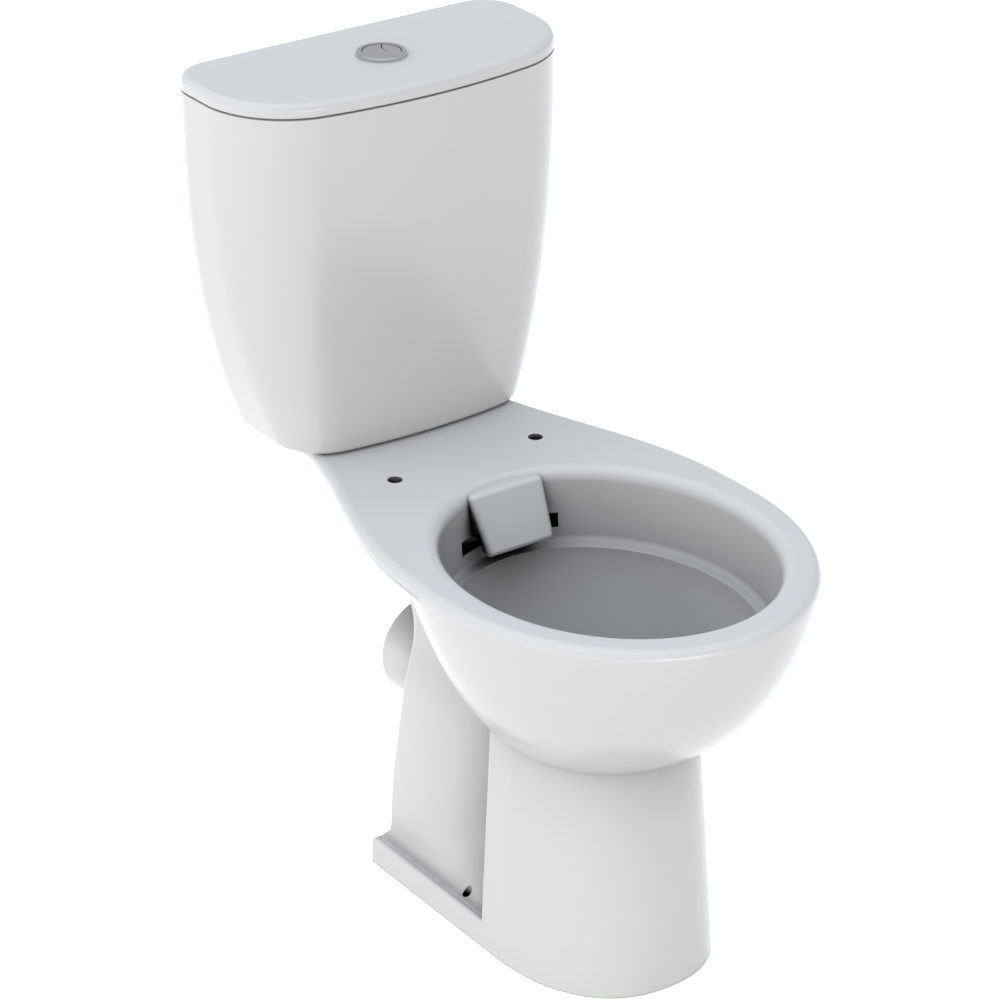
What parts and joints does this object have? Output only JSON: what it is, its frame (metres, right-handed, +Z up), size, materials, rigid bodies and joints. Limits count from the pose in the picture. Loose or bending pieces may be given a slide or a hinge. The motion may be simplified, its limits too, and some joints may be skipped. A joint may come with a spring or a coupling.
{
  "type": "close coupled toilet",
  "caption": "Close coupled rimless washdown toilet: open bowl on a waisted pedestal, tapering bowed cistern, flat lid with a round split push button, horizontal outlet at the back.",
  "frame": {"origin": "on the floor, under the middle of the overall width and depth", "axes": "+Z up, +X across the width to the user's left when seated, -Y towards the front of the bowl, +Y towards the wall"},
  "size_m": [0.356, 0.628, 0.7528],
  "materials": {
    "vitreous_china": "gloss white glaze",
    "satin_chrome": "satin chrome plate",
    "white_plastic": "moulded white",
    "grey_plastic": "moulded grey",
    "dark_rubber": "moulded black",
    "plain_steel": "plain stainless"
  },
  "bodies": {
    "pan_and_tank": {"pan": "vitreous_china", "cistern_tank": "vitreous_china", "close_coupling_gasket": "dark_rubber", "coupling_bolts": "plain_steel", "bolt_head_seals": "dark_rubber", "deck_seals": "dark_rubber", "plate_washers": "plain_steel", "wing_nuts": "white_plastic", "flush_valve_base": "white_plastic", "flush_valve_washer": "dark_rubber", "flush_valve_backnut": "white_plastic", "flush_valve_cage": "white_plastic", "lever_pins": "plain_steel", "fill_valve_body": "white_plastic", "fill_valve_washer": "dark_rubber", "fill_valve_backnut": "white_plastic", "fill_valve_cap": "grey_plastic", "float_lever_pin": "plain_steel"},
    "lid": {"cistern_lid": "vitreous_china", "button_bezel": "satin_chrome", "button_backnut": "white_plastic", "full_button_spring": "plain_steel", "half_button_spring": "plain_steel"},
    "full_button": {"full_flush_button": "satin_chrome", "full_flush_rod": "white_plastic"},
    "half_button": {"half_flush_button": "satin_chrome", "half_flush_rod": "white_plastic"},
    "valve_tube": {"flush_valve_tube": "white_plastic", "flush_valve_seal": "dark_rubber", "flush_valve_float": "grey_plastic"},
    "full_lever": {"full_flush_lever": "grey_plastic"},
    "half_lever": {"half_flush_lever": "grey_plastic"},
    "half_link": {"half_flush_link": "grey_plastic"},
    "float": {"fill_valve_float": "grey_plastic", "float_adjuster": "white_plastic"},
    "float_arm": {"float_lever": "grey_plastic"}
  },
  "joints": [
    {"name": "lid_lift", "type": "slide", "parent": "pan_and_tank", "child": "lid", "axis": [0, 0, 1], "range_m": [0, 0.15]},
    {"name": "full_flush_press", "type": "slide", "parent": "lid", "child": "full_button", "axis": [0, 0, -1], "range_m": [0, 0.006], "stiffness_N_per_m": 400, "springref_m": -0.004, "deforming": ["full_button_spring"]},
    {"name": "half_flush_press", "type": "slide", "parent": "lid", "child": "half_button", "axis": [0, 0, -1], "range_m": [0, 0.006], "stiffness_N_per_m": 400, "springref_m": -0.004, "deforming": ["half_button_spring"]},
    {"name": "full_lever_turn", "type": "hinge", "parent": "pan_and_tank", "child": "full_lever", "pos_m": [-0.03, 0.234, 0.612], "axis": [0, 1, 0], "range_deg": [0, 19]},
    {"name": "valve_lift", "type": "slide", "parent": "pan_and_tank", "child": "valve_tube", "axis": [0, 0, 1], "range_m": [0, 0.0078]},
    {"name": "half_lever_turn", "type": "hinge", "parent": "pan_and_tank", "child": "half_lever", "pos_m": [0.03, 0.234, 0.612], "axis": [0, -1, 0], "range_deg": [0, 19]},
    {"name": "half_link_lift", "type": "slide", "parent": "pan_and_tank", "child": "half_link", "axis": [0, 0, 1], "range_m": [0, 0.0078]},
    {"name": "float_rise", "type": "slide", "parent": "pan_and_tank", "child": "float", "axis": [0, 0, 1], "range_m": [0, 0.01]},
    {"name": "float_lever_turn", "type": "hinge", "parent": "pan_and_tank", "child": "float_arm", "pos_m": [0.101, 0.264, 0.651], "axis": [-1, 0, 0], "range_deg": [0, 22]}
  ],
  "couplings": [
    {"joint": "full_lever_turn", "follows": "full_flush_press", "rad_per_m": 55.26},
    {"joint": "valve_lift", "follows": "full_flush_press", "ratio": 1.3},
    {"joint": "half_lever_turn", "follows": "half_flush_press", "rad_per_m": 55.26},
    {"joint": "half_link_lift", "follows": "half_flush_press", "ratio": 1.3},
    {"joint": "float_lever_turn", "follows": "float_rise", "rad_per_m": 38.39}
  ]
}
